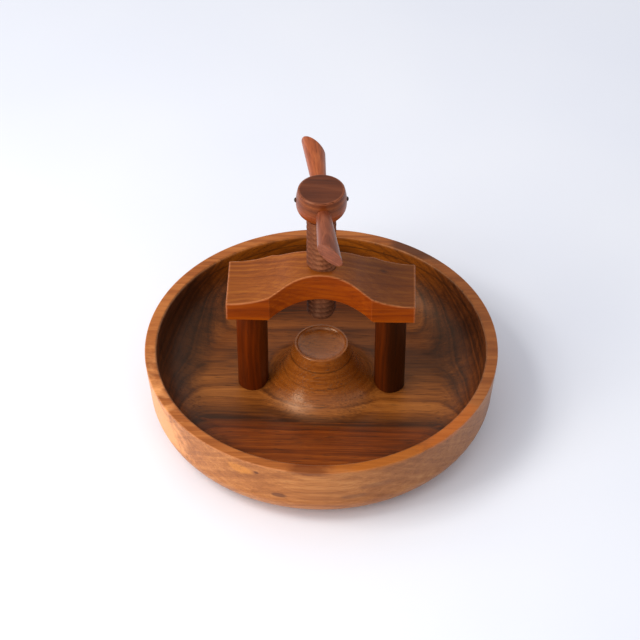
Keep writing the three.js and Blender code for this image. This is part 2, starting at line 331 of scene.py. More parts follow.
def mark_wear_and_highlight(mesh, wear_and_highlight):
    """Stores each point's wear and painted highlight, 0 to 1, from a function of its place in millimetres.
    """
    values = [float(wear_and_highlight(*(vertex.co / MM))) for vertex in mesh.vertices]
    mesh.attributes.new("wear_and_highlight", "FLOAT", "POINT").data.foreach_set("value", values)


def unworn(x, y, z):
    return 0.0


def finish_piece(piece, material, body, node, sharp=40, wear_and_highlight=unworn):
    """Smooths the shading, gives the piece its material and sets it on its body.

    Edges that turn by more than the sharp angle, in degrees, stay sharp.
    """
    mesh = piece.data
    mark_wear_and_highlight(mesh, wear_and_highlight)
    mesh.shade_smooth()
    mesh.set_sharp_from_angle(angle=math.radians(sharp))
    mesh.materials.clear()
    mesh.materials.append(material)
    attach(piece, body)
    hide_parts(node)
    return piece


# ---- bowl -----------------------------------------------------------------

def bowl_outline():
    b, p = BOWL, PEDESTAL
    recess_edge = (b["foot_inner"] - b["recess"], b["recess"])
    foot = [(0, b["recess"]), recess_edge]
    foot += corner(recess_edge, (b["foot_inner"], 0), (b["foot"], 0), 0.4)
    outside = arc((b["foot"], b["waist_height"]),
                  (b["waist"] - b["foot"], b["waist_height"]), -QUARTER, 0, 40)
    rim_out, rim_in = (b["rim"], b["height"]), (b["rim_inner"], b["height"])
    foot_of_wall = (b["wall"], b["wall_height"])
    spread, rise = b["rim"] - b["waist"], b["height"] - b["waist_height"]
    wall = [
        (b["waist"] + t * spread, b["waist_height"] + t * rise)
        for t in np.linspace(0.08, 0.9, 12)
    ]
    rim = corner((b["waist"], b["waist_height"]), rim_out, rim_in, b["outer_edge"], 6)
    rim += corner(rim_out, rim_in, foot_of_wall, b["inner_edge"], 8)
    inside = arc((b["floor_radius"], b["wall_height"]),
                 (b["wall"] - b["floor_radius"], b["wall_height"] - b["floor"]), 0, -QUARTER, 40)
    floor = [(r, b["floor"]) for r in np.linspace(b["floor_radius"], p["flare"], 8)[1:-1]]
    lip = (p["lip"], p["height"])
    flare = bezier((p["flare"], b["floor"]), (p["flare_foot"], b["floor"]),
                   (p["neck_radius"], p["neck_height"]), lip, 40)
    mouth = corner(flare[-2], lip, (p["cup"], p["height"]), p["lip_edge"])
    cup = arc((0, p["height"]), (p["cup"], p["cup_depth"]), 0, -QUARTER, 20)
    cup[-1] = (0, p["height"] - p["cup_depth"])
    return foot + outside + wall + rim + inside + floor + flare[:-1] + mouth[1:-1] + cup


def rim_edge(x, y, z):
    """The rim's two rounded edges, for wear and painted highlight. The outer one gets most at the left,
    where the light falls.
    """
    b = BOWL
    wear = RIM_WEAR_AND_HIGHLIGHT
    if z < b["height"] - b["outer_edge"]:
        return 0.0
    radius = math.hypot(x, y)
    if radius > b["rim"] - b["outer_edge"]:
        return wear["left"] if x < wear["left_of"] else wear["right"]
    at_inner = b["rim_inner"] - 1 < radius < b["rim_inner"] + b["outer_edge"]
    return wear["inner"] if at_inner else 0.0


def make_bowl(material):
    piece = lathe("turned_bowl", bowl_outline(), BOWL["segments"])
    seat = POST["bottom"] - HAIRLINE
    for x in SIDES.values():
        mortise = cylinder(POST["radius"] + HAIRLINE, seat, BOWL["height"], 96)
        combine(piece, shifted(mortise, x), "DIFFERENCE")
        low = BOWL["recess"] + HAIRLINE
        hole = lathe("tool", [
            (0, -1), (STEEL["head"] + HAIRLINE, -1), (STEEL["head"] + HAIRLINE, low),
            (STEEL["shank"] + HAIRLINE, low + STEEL["head_height"]),
            (STEEL["shank"] + HAIRLINE, seat + 1), (0, seat + 1),
        ], 48)
        combine(piece, shifted(hole, x), "DIFFERENCE")
    return finish_piece(piece, material, "frame", "bowl", 35, rim_edge)


# ---- posts ----------------------------------------------------------------

def make_post(side, material):
    p = POST
    bevel = p["foot_bevel"]
    shoulder = p["shoulder"] - HAIRLINE
    low, high = p["bottom"] + 2, p["shoulder"] - 1.5
    outline = [(0, p["bottom"]), (p["radius"] - bevel, p["bottom"]), (p["radius"], p["bottom"] + bevel)]
    outline += [(p["radius"], z) for z in np.linspace(low, high, 30)]
    outline += corner((p["radius"], high), (p["radius"], shoulder), (p["tenon"], shoulder),
                      p["shoulder_edge"])
    outline += [(p["tenon"], shoulder), (p["tenon"], p["top"]), (0, p["top"])]
    piece = lathe(f"{side}_dowel", outline, 96)
    pilot = cylinder(STEEL["shank"] + HAIRLINE, p["bottom"] - 1, STEEL["top"] + 1, 32)
    combine(piece, pilot, "DIFFERENCE")
    shifted(piece, SIDES[side])
    return finish_piece(piece, material, "frame", f"{side}_post")


def make_post_screw(side, material):
    s = STEEL
    edge = s["edge"]
    outline = [(0, s["bottom"]), (s["head"] - edge, s["bottom"]), (s["head"], s["bottom"] + edge)]
    outline += [(s["shank"], s["bottom"] + s["head_height"]), (s["shank"], s["top"] - s["point"])]
    outline += [(s["point_radius"], s["top"] - edge), (0, s["top"])]
    piece = lathe(f"{side}_steel_screw", outline, 48)
    slot = block((3 * s["head"], s["slot_width"], 2 * s["slot_depth"]), s["bottom"])
    combine(piece, slot, "DIFFERENCE")
    shifted(piece, SIDES[side])
    return finish_piece(piece, material, "frame", f"{side}_post_screw", 30)


# ---- bridge ---------------------------------------------------------------

def bridge_top(x):
    """Height of the top: a hump in the middle that flows into a hollow at each end."""
    b = BRIDGE
    x = abs(x)
    hump = b["top"] - b["hump"]
    reach = b["hump"] + b["dish"]
    dish_x = reach * math.sin(b["hump_angle"])
    dish_z = hump + reach * math.cos(b["hump_angle"])
    if x < b["hump"] * math.sin(b["hump_angle"]):
        return hump + math.sqrt(b["hump"] ** 2 - x * x)
    return dish_z - math.sqrt(b["dish"] ** 2 - (x - dish_x) ** 2)


def circle_bulge(x, half, rise):
    """Height over a chord of an arc that rises in the middle, and 0 beyond the chord."""
    if abs(x) >= half:
        return 0.0
    radius = (half ** 2 + rise ** 2) / (2 * rise)
    return math.sqrt(radius ** 2 - x * x) - (radius - rise)


def bridge_side(x):
    """Half the bridge's depth at x: a waist in the middle."""
    b = BRIDGE
    return b["half_depth"] - circle_bulge(x, b["waist_length"], b["half_depth"] - b["waist_depth"])


def bridge_section(x, inset):
    """One slice across the bridge at x, drawn in by inset all round, with rounded corners."""
    b = BRIDGE
    depth = bridge_side(x) - inset
    low = b["underside"] + circle_bulge(x, b["arch_length"], b["arch_top"] - b["underside"]) + inset
    high = bridge_top(x) - inset
    corners = [(-depth, low), (depth, low), (depth, high), (-depth, high)]
    edge = max(b["edge"] - inset, 0.1)
    section = []
    for i, at in enumerate(corners):
        before, after = corners[i - 1], corners[(i + 1) % 4]
        section += corner(before, at, after, edge, 4)
        towards = np.array(after) - np.array(at)
        section += [tuple(np.array(at) + towards * t) for t in (0.25, 0.5, 0.75)]
    return [(x, y, z) for y, z in section]


def bridge_edge(x, y, z):
    """The bridge's upper edges, its ends' upright edges and the creases of its waist."""
    b = BRIDGE
    near = b["edge"] * 1.1
    at_side = bridge_side(x) - abs(y) < near
    at_top = bridge_top(x) - z < near
    at_end = b["half_length"] - abs(x) < near
    if (at_side and at_top) or (at_end and (at_top or at_side)):
        return 1.0
    at_crease = abs(abs(x) - b["waist_length"]) < 0.2
    return 0.3 if at_side and at_crease else 0.0


def bridge_stations():
    """Places along the bridge: even spacing, crowded together at the creases and the ends."""
    b = BRIDGE
    places = set(np.linspace(0, b["half_length"] - b["edge"] - 0.6, 50))
    for crease in (b["waist_length"], b["arch_length"]):
        places |= {crease - 0.25, crease, crease + 0.25}
    return sorted(places | {-p for p in places})


def make_bridge(material):
    b = BRIDGE
    sections = [bridge_section(x, 0) for x in bridge_stations()]
    caps = []
    for angle in np.linspace(0, QUARTER, 5):
        inset = b["edge"] * (1 - math.cos(angle))
        caps.append((b["half_length"] - b["edge"] * (1 - math.sin(angle)), inset))
    right = [bridge_section(x, inset) for x, inset in caps]
    left = [bridge_section(-x, inset) for x, inset in reversed(caps)]
    piece = loft("arched_bridge", left + sections + right)
    for x in SIDES.values():
        mortise = cylinder(POST["tenon"] + HAIRLINE, b["underside"] - 5, POST["top"] + HAIRLINE)
        combine(piece, shifted(mortise, x), "DIFFERENCE")
    tap = threaded("tool", b["underside"], b["top"] + 2 * THREAD["pitch"], THREAD["clearance"], 0)
    combine(piece, tap, "DIFFERENCE")
    return finish_piece(piece, material, "frame", "bridge", 30, bridge_edge)


# ---- wooden screw ---------------------------------------------------------

def thread_radius(phase):
    """Radius of the thread at a share of the pitch, with its crest slightly rounded."""
    t = THREAD
    if phase < t["root_end"]:
        return t["minor"]
    if phase < t["crest_start"]:
        share = (phase - t["root_end"]) / (t["crest_start"] - t["root_end"])
    elif phase < t["crest_end"]:
        share = 1.0
    else:
        share = (1 - phase) / (1 - t["crest_end"])
    return t["minor"] + (t["major"] - t["minor"]) * share


def threaded(name, low, high, swell, wear, chamfer=0.0, segments=48):
    """A right-hand threaded rod. Wear chips its crests, and the chamfer bevels its lower end.

    A turn has as many rows as segments, so that lines of vertices run along the thread.
    """
    pitch = THREAD["pitch"]
    heights = np.append(np.arange(low, high - 0.01, pitch / segments), high)
    vertices, faces = [], []
    for z in heights:
        for i in range(segments):
            angle = 2 * math.pi * i / segments
            radius = thread_radius((z / pitch - i / segments) % 1.0)
            height_share = (radius - THREAD["minor"]) / (THREAD["major"] - THREAD["minor"])
            place = Vector((math.cos(angle) * 1.5, math.sin(angle) * 1.5, z * 0.3))
            chip = 0.5 + 0.5 * noise.fractal(place, 1.0, 2.0, 3)
            radius -= wear * height_share * chip
            if chamfer:
                radius = min(radius, THREAD["major"] - chamfer + (z - low))
            radius += swell
            vertices.append((radius * math.cos(angle), radius * math.sin(angle), z))
    for row in range(len(heights) - 1):
        for i in range(segments):
            j = (i + 1) % segments
            a, b = row * segments, (row + 1) * segments
            faces.append((a + i, a + j, b + j, b + i))
    faces.append(tuple(range(segments)))
    faces.append(tuple(len(vertices) - segments + i for i in range(segments)))
    return new_object(name, vertices, faces)


def pin_blank(name, swell):
    reach = KNOB["radius"]
    half = [(PIN["radius"] + swell, z) for z in np.linspace(0, reach, 12)]
    dome = arc((0, reach), (PIN["radius"] + swell, PIN["stand"]), 0, QUARTER, 8)
    dome[-1] = (0, reach + PIN["stand"])
    upper = half[:-1] + dome
    lower = [(r, -z) for r, z in reversed(upper[1:])]
    piece = lathe(name, lower + upper, 40)
    turn = Matrix.Rotation(PIN["yaw"], 4, "Z") @ Matrix.Rotation(QUARTER, 4, "Y")
    piece.data.transform(Matrix.Translation((0, 0, PIN["height"] * MM)) @ turn)
    return piece


def make_press_screw(material):
    s = SCREW
    piece = threaded("wooden_screw", s["bottom"], s["shoulder"], 0, 0.12, s["chamfer"])
    combine(piece, cylinder(s["tenon"], s["shoulder"] - 3, s["top"]), "UNION")
    socket = cylinder(TIP["stem"] + HAIRLINE, s["bottom"] - 1, TIP["top"] + HAIRLINE)
    combine(piece, socket, "DIFFERENCE")
    combine(piece, pin_blank("tool", HAIRLINE), "DIFFERENCE")
    return finish_piece(piece, material, "spindle", "press_screw", 50)


def make_tip(material):
    t = TIP
    shoulder = SCREW["bottom"] - HAIRLINE
    nose = arc((0, t["bottom"] + t["rounding"]), (t["radius"], t["rounding"]), -QUARTER, 0, 12)
    nose[0] = (0, t["bottom"])
    outline = nose + [(t["radius"], shoulder), (t["stem"], shoulder)]
    outline += [(t["stem"], t["top"]), (0, t["top"])]
    piece = lathe("pressing_tip", outline, 64)
    return finish_piece(piece, material, "feed", "screw_tip")


# ---- knob, arms and pin ---------------------------------------------------

def knob_outline(swell=0.0):
    k = KNOB
    power = 2 / k["fullness"]
    outline = []
    for angle in np.linspace(0, QUARTER, 28):
        radius = k["radius"] * math.sin(angle) ** power
        drop = (k["widest"] - k["bottom"]) * abs(math.cos(angle)) ** power
        outline.append((radius, k["widest"] - drop))
    lean = math.acos(k["top_radius"] / k["radius"])
    rise = (k["top"] - k["widest"]) / math.sin(lean)
    crown = arc((0, k["widest"]), (k["radius"], rise), 0, lean, 14)[1:]
    outline += crown[:-1]
    outline += corner(crown[-2], crown[-1], (0, k["top"]), k["edge"])[1:]
    outline += [(r, k["top"]) for r in np.linspace(k["top_radius"] - 1.5, 0, 8)]
    return [(r + swell if r > 1e-6 else 0.0, z) for r, z in outline]


def arm_matrix(turn):
    """Lays a piece that stands on +Z along the arm's direction."""
    lay = Matrix(((0, 1, 0), (0, 0, -1), (-1, 0, 0))).to_4x4()
    swing = Matrix.Rotation(ARM["yaw"] + turn, 4, "Z")
    return Matrix.Translation((0, 0, ARM["height"] * MM)) @ swing @ lay


def arm_skin(name):
    """A tapered peg whose far end is cut off on a slant, with the edge of the cut rounded."""
    a = ARM
    growth = (a["end"] - a["root"]) / a["reach"]
    sin_yaw, cos_yaw = math.sin(a["cut_yaw"]), math.cos(a["cut_yaw"])
    sin_pitch, cos_pitch = math.sin(-a["cut_pitch"]), math.cos(a["cut_pitch"])
    normal = np.array((cos_yaw * sin_pitch, -sin_yaw, cos_yaw * cos_pitch))
    middle = np.array((0, 0, a["length"]))
    root = a["start"] - a["backing"]

    def on_cone(angle, distance):
        radius = a["root"] + growth * max(distance - a["start"], 0)
        return np.array((radius * math.cos(angle), radius * math.sin(angle), distance))

    columns = []
    for i in range(a["segments"]):
        angle = 2 * math.pi * i / a["segments"]
        tilt = normal[0] * math.cos(angle) + normal[1] * math.sin(angle)
        base = a["root"] - growth * a["start"]
        far = (normal[2] * a["length"] - tilt * base) / (normal[2] + growth * tilt)
        rim = on_cone(angle, far)
        before = on_cone(angle, far - a["edge"])
        inward = (middle - rim) / np.linalg.norm(middle - rim)
        after = rim + a["edge"] * inward
        column = [on_cone(angle, root + (far - 2 * a["edge"] - root) * t) for t in np.linspace(0, 1, 40)]
        for t in np.linspace(0, 1, 6):
            s = 1 - t
            column.append(s * s * before + 2 * s * t * rim + t * t * after)
        for t in (0.08, 0.3, 0.6, 0.85):
            column.append(after + (middle - after) * t)
        columns.append([tuple(p) for p in column])
    sections = [[column[row] for column in columns] for row in range(len(columns[0]))]
    return loft(name, sections)


def make_arm(end, turn, material):
    piece = arm_skin(f"{end}_handle_arm")
    piece.data.transform(arm_matrix(turn))
    combine(piece, lathe("tool", knob_outline(HAIRLINE)), "DIFFERENCE")
    tenon = cylinder(ARM["tenon"], ARM["tenon_inner"], ARM["start"] + ARM["backing"], 48)
    tenon.data.transform(arm_matrix(turn))
    combine(piece, tenon, "UNION")
    return finish_piece(piece, material, "spindle", f"{end}_arm", 35)


def knob_edge(x, y, z):
    """The edge between the knob's flat top and its side."""
    near = KNOB["edge"] * 1.2
    return KNOB["top"] - z < near and KNOB["top_radius"] - math.hypot(x, y) < near


def make_knob(material):
    piece = lathe("handle_knob", knob_outline(), 160)
    socket = cylinder(SCREW["tenon"] + HAIRLINE, KNOB["bottom"] - 1, SCREW["top"] + HAIRLINE)
    combine(piece, socket, "DIFFERENCE")
    combine(piece, pin_blank("tool", HAIRLINE), "DIFFERENCE")
    for turn in (0, math.pi):
        hole = cylinder(ARM["tenon"] + HAIRLINE, ARM["tenon_inner"] - HAIRLINE, KNOB["radius"] + 1, 48)
        hole.data.transform(arm_matrix(turn))
        combine(piece, hole, "DIFFERENCE")
    return finish_piece(piece, material, "spindle", "knob", 35, knob_edge)


def make_pin(material):
    return finish_piece(pin_blank("dowel_pin", 0), material, "spindle", "cross_pin")


# ---- material nodes -------------------------------------------------------

def rgb(red, green, blue):
    """A screen colour, 0 to 255, as the renderer's linear values."""
    def linear(value):
        value /= 255
        return value / 12.92 if value <= 0.04045 else ((value + 0.055) / 1.055) ** 2.4
    return (linear(red), linear(green), linear(blue), 1.0)


class Nodes:
    """One material's node tree. Each method adds a node and returns its output."""

    def __init__(self, name):
        self.material = bpy.data.materials.new(name)
        self.material.use_nodes = True
        self.tree = self.material.node_tree
        self.tree.nodes.clear()

    def put(self, socket, value):
        if isinstance(value, bpy.types.NodeSocket):
            self.tree.links.new(value, socket)
        else:
            socket.default_value = value

    def add(self, kind, **settings):
        node = self.tree.nodes.new(kind)
        for key, value in settings.items():
            setattr(node, key, value)
        return node

    def math(self, operation, *values, clamp=False):
        node = self.add("ShaderNodeMath", operation=operation, use_clamp=clamp)
        for socket, value in zip(node.inputs, values):
            self.put(socket, value)
        return node.outputs[0]

    def times(self, first, *others):
        product = first
        for value in others:
            product = self.math("MULTIPLY", product, value)
        return product

    def inverse(self, share):
        return self.math("SUBTRACT", 1.0, share)

    def vector(self, operation, *values):
        node = self.add("ShaderNodeVectorMath", operation=operation)
        for socket, value in zip(node.inputs, values):
            self.put(socket, value)
        return node.outputs["Value" if operation in ("LENGTH", "DOT_PRODUCT") else "Vector"]

    def stretch(self, vector, factors):
        return self.vector("MULTIPLY", vector, factors)

    def split(self, vector):
        node = self.add("ShaderNodeSeparateXYZ")
        self.put(node.inputs[0], vector)
        return node.outputs

    def join(self, x, y, z):
        node = self.add("ShaderNodeCombineXYZ")
        for socket, value in zip(node.inputs, (x, y, z)):
            self.put(socket, value)
        return node.outputs[0]

    def noise(self, vector, detail=3.0, roughness=0.5, distortion=0.0, output="Fac"):
        node = self.add("ShaderNodeTexNoise")
        self.put(node.inputs["Vector"], vector)
        node.inputs["Scale"].default_value = 1.0
        node.inputs["Detail"].default_value = detail
        node.inputs["Roughness"].default_value = roughness
        node.inputs["Distortion"].default_value = distortion
        return node.outputs[output]

    def noise_line(self, value, detail=3.0, roughness=0.6):
        """Noise along one number, such as the distance from the pith."""
        node = self.add("ShaderNodeTexNoise", noise_dimensions="1D")
        self.put(node.inputs["W"], value)
        node.inputs["Scale"].default_value = 1.0
        node.inputs["Detail"].default_value = detail
        node.inputs["Roughness"].default_value = roughness
        return node.outputs["Fac"]

    def remap(self, value, low, high, to_low=0.0, to_high=1.0):
        node = self.add("ShaderNodeMapRange", interpolation_type="SMOOTHSTEP")
        for key, number in (("Value", value), ("From Min", low), ("From Max", high),
                            ("To Min", to_low), ("To Max", to_high)):
            self.put(node.inputs[key], number)
        return node.outputs[0]

    def band(self, value, centre, width):
        """1 where the value is at the centre, falling smoothly to 0 a width away."""
        away = self.math("ABSOLUTE", self.math("SUBTRACT", value, centre))
        return self.remap(away, 0.0, width, 1.0, 0.0)

    def ramp(self, value, stops):
        node = self.add("ShaderNodeValToRGB")
        elements = node.color_ramp.elements
        while len(elements) < len(stops):
            elements.new(1.0)
        for element, (place, colour) in zip(elements, stops):
            element.position = place
            element.color = colour
        self.put(node.inputs[0], value)
        return node.outputs[0]

    def mix(self, share, a, b, blend="MIX"):
        node = self.add("ShaderNodeMix", data_type="RGBA", blend_type=blend)
        self.put(node.inputs["Factor"], share)
        self.put(node.inputs["A"], a)
        self.put(node.inputs["B"], b)
        return node.outputs["Result"]

    def bump(self, height, distance_mm, strength=1.0):
        node = self.add("ShaderNodeBump")
        node.inputs["Strength"].default_value = strength
        node.inputs["Distance"].default_value = distance_mm * MM
        self.put(node.inputs["Height"], height)
        return node.outputs[0]

    def surface(self, colour, roughness, normal, **others):
        shader = self.add("ShaderNodeBsdfPrincipled")
        self.put(shader.inputs["Base Color"], colour)
        self.put(shader.inputs["Roughness"], roughness)
        self.put(shader.inputs["Normal"], normal)
        for key, value in others.items():
            self.put(shader.inputs[key.replace("_", " ")], value)
        output = self.add("ShaderNodeOutputMaterial")
        self.put(output.inputs["Surface"], shader.outputs[0])
        return self.material


FIBRE_X = (0.0, 0.0, 0.0)
FIBRE_Z = (0.0, QUARTER, 0.0)
FIBRE_ARM = (0.0, 0.0, QUARTER - ARM["yaw"])
WARM_GLOSS = (1.0, 0.70, 0.46, 1.0)  # an oiled wood's reflections take on its colour


def object_place(nodes):
    """Millimetres in the part's own frame, carried along with the piece."""
    coordinates = nodes.add("ShaderNodeTexCoord").outputs["Object"]
    return nodes.stretch(coordinates, (1 / MM,) * 3)


def fibre_space(nodes, pith, turn):
    """Millimetres from a point on the pith, with x along the fibres."""
    place = nodes.vector("SUBTRACT", object_place(nodes), pith)
    node = nodes.add("ShaderNodeVectorRotate", rotation_type="EULER_XYZ")
    nodes.put(node.inputs["Vector"], place)
    node.inputs["Rotation"].default_value = turn
    return node.outputs[0]


def facing_up(nodes):
    """1 on surfaces that face upwards at rest, 0 on upright ones and undersides."""
    normal = nodes.add("ShaderNodeTexCoord").outputs["Normal"]
    return nodes.remap(nodes.split(normal)[2], 0.35, 0.85)


def edge_wear_and_highlight(nodes):
    return nodes.add("ShaderNodeAttribute", attribute_name="wear_and_highlight").outputs["Fac"]


def patch(nodes, place, centre, size, ragged=0.3):
    """1 inside an egg-shaped spot, falling to 0 at a ragged edge. Lengths are millimetres."""
    away = nodes.vector("DIVIDE", nodes.vector("SUBTRACT", place, centre), size)
    wobble = nodes.math("SUBTRACT", nodes.noise(nodes.stretch(place, (0.07, 0.11, 0.11)), 3, 0.6), 0.5)
    reach = nodes.math("ADD", nodes.vector("LENGTH", away), nodes.times(wobble, 4 * ragged))
    return nodes.remap(reach, 0.55, 1.25, 1.0, 0.0)


def grain(nodes, space):
    """Fine fibre lines, broader streaks, pores and slow blotches, each from 0 to 1."""
    fibres = nodes.noise(nodes.stretch(space, (0.05, 1.7, 1.7)), 4, 0.6)
    streaks = nodes.noise(nodes.stretch(space, (0.012, 0.32, 0.32)), 4, 0.6, 0.3)
    pore_field = nodes.noise(nodes.stretch(space, (0.09, 1.3, 1.3)), 2, 0.5)
    pores = nodes.remap(pore_field, 0.58, 0.70)
    blotches = nodes.noise(nodes.stretch(space, (0.014, 0.03, 0.03)), 3, 0.55)
    return fibres, streaks, pores, blotches


def warped(nodes, space, amount):
    """Fibre space with its growth layers gently bent."""
    field = nodes.noise(nodes.stretch(space, (0.006, 0.018, 0.018)), 2.0, output="Color")
    centred = nodes.vector("SUBTRACT", field, (0.5, 0.5, 0.5))
    return nodes.vector("ADD", space, nodes.stretch(centred, (0.0, amount, amount)))


def pith_distance(nodes, space):
    parts = nodes.split(space)
    return nodes.vector("LENGTH", nodes.join(0.0, parts[1], parts[2]))


def weighed(nodes, *pairs):
    """The sum of fields, each times its weight."""
    total = 0.0
    for field, weight in pairs:
        total = nodes.math("ADD", total, nodes.times(field, weight))
    return total


def tones(nodes, value, colours):
    """A ramp through evenly spaced colours, from the darkest wood to the lightest."""
    last = len(colours) - 1
    return nodes.ramp(value, [(i / last, rgb(*colour)) for i, colour in enumerate(colours)])


def shaded(nodes, colour, share, factor):
    """The colour multiplied by the factor where the share is 1."""
    return nodes.mix(share, colour, nodes.mix(1.0, colour, (*factor, 1.0), "MULTIPLY"))


def oiled(nodes, colour, fibres, pores, gloss, specular=0.35):
    """The satin oiled finish: pores are duller, and the fibres raise a faint relief."""
    height = nodes.math("SUBTRACT", nodes.times(fibres, 0.4), pores)
    rough = weighed(nodes, (pores, 0.15), (fibres, 0.12))
    rough = nodes.math("ADD", rough, gloss)
    return nodes.surface(colour, rough, nodes.bump(height, 0.06, 0.6),
                         Specular_IOR_Level=specular, Specular_Tint=WARM_GLOSS)


class Timber:
    """The fields and base colour of one straight-grained piece of wood.

    The colours run from the darkest layer to the lightest, and spacing is that of the layers.
    A plainer piece has a lower contrast.
    """

    def __init__(self, name, pith, turn, spacing, colours, pore_depth=0.45, blotch=0.5, contrast=1.0):
        nodes = self.nodes = Nodes(name)
        self.place = object_place(nodes)
        self.space = fibre_space(nodes, pith, turn)
        self.fibres, self.streaks, self.pores, self.blotches = grain(nodes, self.space)
        distance = pith_distance(nodes, warped(nodes, self.space, 6 * spacing))
        layers = nodes.noise_line(nodes.math("DIVIDE", distance, spacing))
        value = weighed(nodes, (layers, 0.45), (self.streaks, 0.35), (self.fibres, 0.2))
        shift = nodes.times(nodes.math("SUBTRACT", self.blotches, 0.5), blotch)
        reach = 0.2 / contrast
        value = nodes.remap(nodes.math("ADD", value, shift), 0.5 - reach, 0.5 + reach)
        colour = tones(nodes, value, colours)
        dark = nodes.times(self.pores, pore_depth)
        self.colour = nodes.mix(dark, colour, rgb(*[c * 0.45 for c in colours[0]]))

    def shade(self, share, factor):
        self.colour = shaded(self.nodes, self.colour, share, factor)

    def tint(self, share, colour):
        self.colour = self.nodes.mix(share, self.colour, rgb(*colour))

    def spot(self, centre, size, ragged=0.3):
        return patch(self.nodes, self.place, centre, size, ragged)

    def wear(self, amount, colour):
        # pales the marked edges: part real wear, part painted highlight
        rubbed = self.nodes.remap(self.fibres, 0.3, 0.6)
        self.tint(self.nodes.times(edge_wear_and_highlight(self.nodes), rubbed, amount), colour)

    def finish(self, gloss, specular=0.35):
        return oiled(self.nodes, self.colour, self.fibres, self.pores, gloss, specular)


def bridge_wood():
    """Orange-brown where upright; on top, painted sheen makes it pinker and painted shade darkens the
    right.
    """
    wood = Timber("bridge_wood", (18, -60, 60), (0.0, 0.05, 0.04), 3.4,
                  [(108, 36, 1), (142, 56, 2), (172, 78, 4)], 0.22, 0.25, 0.7)
    nodes = wood.nodes
    up = facing_up(nodes)
    right = nodes.remap(nodes.split(wood.place)[0], -8.0, 42.0)
    # painted sheen: the top's reflection of the light from above, painted in as a paler, pinker colour
    wood.shade(up, (1.0, 1.66, 12.0))
    # painted shade: the right part of the top faces away from the light
    wood.shade(nodes.times(up, right), (0.55, 0.51, 0.48))
    knot = wood.spot((41, 10, 117), (4, 3, 8), 0.4)
    wood.tint(nodes.times(knot, 0.75), (48, 22, 14))
    # pale edges: part real wear, part painted highlight along the rounded edges
    wood.wear(0.32, (226, 146, 92))
    return wood.finish(0.34, 0.28)


def post_wood():
    """Deep red-brown, and darker on the right post. Painted shade darkens each post down its right side,
    away from the light.
    """
    wood = Timber("post_wood", (30, 12, 0), FIBRE_Z, 3.0,
                  [(62, 18, 1), (100, 34, 1), (128, 48, 3)], 0.3, 0.3, 0.6)
    nodes = wood.nodes
    across = nodes.split(wood.place)[0]
    right_flank_shade = nodes.remap(across, SIDES["right"] - 6, SIDES["right"] + 1)
    # painted shade down the right post's right side
    wood.shade(right_flank_shade, (0.38, 0.46, 0.9))
    right_post = nodes.remap(across, -10.0, 10.0)
    wood.shade(right_post, (0.72, 0.80, 1.0))
    left_post_flank_shade = nodes.band(across, SIDES["left"] + POST["radius"], POST["radius"])
    # painted shade down the left post's right side
    wood.shade(left_post_flank_shade, (0.62, 0.80, 1.0))
    return wood.finish(0.38, 0.3)


def screw_wood():
    """Dull brown, with painted shade towards the pressing end, which the bridge shadows."""
    wood = Timber("screw_wood", (14, 10, 0), FIBRE_Z, 2.2,
                  [(86, 42, 22), (118, 62, 35), (146, 86, 54)], 0.35, 0.5, 0.8)
    nodes = wood.nodes
    under_bridge_shade = nodes.remap(nodes.split(wood.place)[2], 92.0, 104.0, 1.0, 0.0)
    # painted shade: the bridge shadows the screw's lower end
    wood.shade(under_bridge_shade, (0.55, 0.56, 0.60))
    return wood.finish(0.5, 0.3)


def knob_wood():
    """A dull dark top and a glossier orange-brown side."""
    wood = Timber("knob_wood", (0, -9, 150), FIBRE_X, 2.6,
                  [(112, 42, 11), (146, 64, 20), (174, 86, 34)], 0.25, 0.5, 0.8)
    nodes = wood.nodes
    shoulder = nodes.remap(nodes.split(wood.place)[2], 176.0, 182.0)
    wood.shade(shoulder, (0.62, 0.64, 0.66))
    wood.shade(facing_up(nodes), (0.62, 0.64, 1.1))
    # pale top edge: part wear, part painted highlight
    wood.wear(0.3, (196, 116, 80))
    return wood.finish(0.28, 0.42)


def arm_wood():
    """Pinkish brown in front, more orange behind."""
    wood = Timber("arm_wood", (3, 0, 160), FIBRE_ARM, 2.2,
                  [(94, 40, 22), (124, 60, 35), (154, 84, 53)], 0.35, 0.5, 1.0)
    nodes = wood.nodes
    behind = nodes.remap(nodes.split(wood.place)[1], -10.0, 10.0)
    wood.shade(behind, (1.7, 1.62, 1.1))
    return wood.finish(0.30, 0.55)


def pin_wood():
    wood = Timber("pin_wood", (0, 6, 170), FIBRE_X, 1.2,
                  [(24, 12, 9), (40, 22, 17), (58, 34, 25)], 0.42, 0.3)
    return wood.finish(0.42)


# The bowl's growth layers are shells round a line above it, so they show as U-shaped bands.
BOWL_PITH = (0.0, 17.6, 146.6)

# Spots on the bowl's rim and outside: centre, size, ragged edge, share, colour.
BOWL_MARKS = (
    ((-5, -117, 52), (15, 8, 4), 0.38, 0.72, (104, 42, 8)),  # dark patch at the front of the rim
    ((48, -107, 52), (34, 22, 3), 0.5, 0.5, (188, 102, 16)),  # orange patch right of it
    ((88, -80, 52), (26, 30, 3), 0.35, 0.5, (196, 98, 20)),  # the orange fades out along the rim
    ((-106, -42, 32), (30, 52, 21), 0.4, 0.85, (250, 168, 100)),  # painted light on the left side, which faces the lamps
    ((66, 100, 51), (27, 17, 8), 0.25, 0.8, (74, 38, 24)),  # dark streak at the back right
    ((-24.5, -115, 25.5), (5, 5, 2), 0.35, 0.75, (84, 36, 22)),  # knot low on the front
    ((-39, -113, 44), (1.8, 3, 1.4), 0.3, 0.75, (84, 36, 18)),  # pin knot
    ((-49, -108, 42), (9, 8, 4), 0.5, 0.5, (228, 144, 52)),  # pale flame at the front left
    ((26, -114, 26), (11, 8, 2.2), 0.4, 0.5, (104, 60, 40)),  # smoky streak, lower end
    ((40, -111, 34), (12, 8, 2.6), 0.4, 0.4, (104, 60, 40)),  # smoky streak, upper end
)
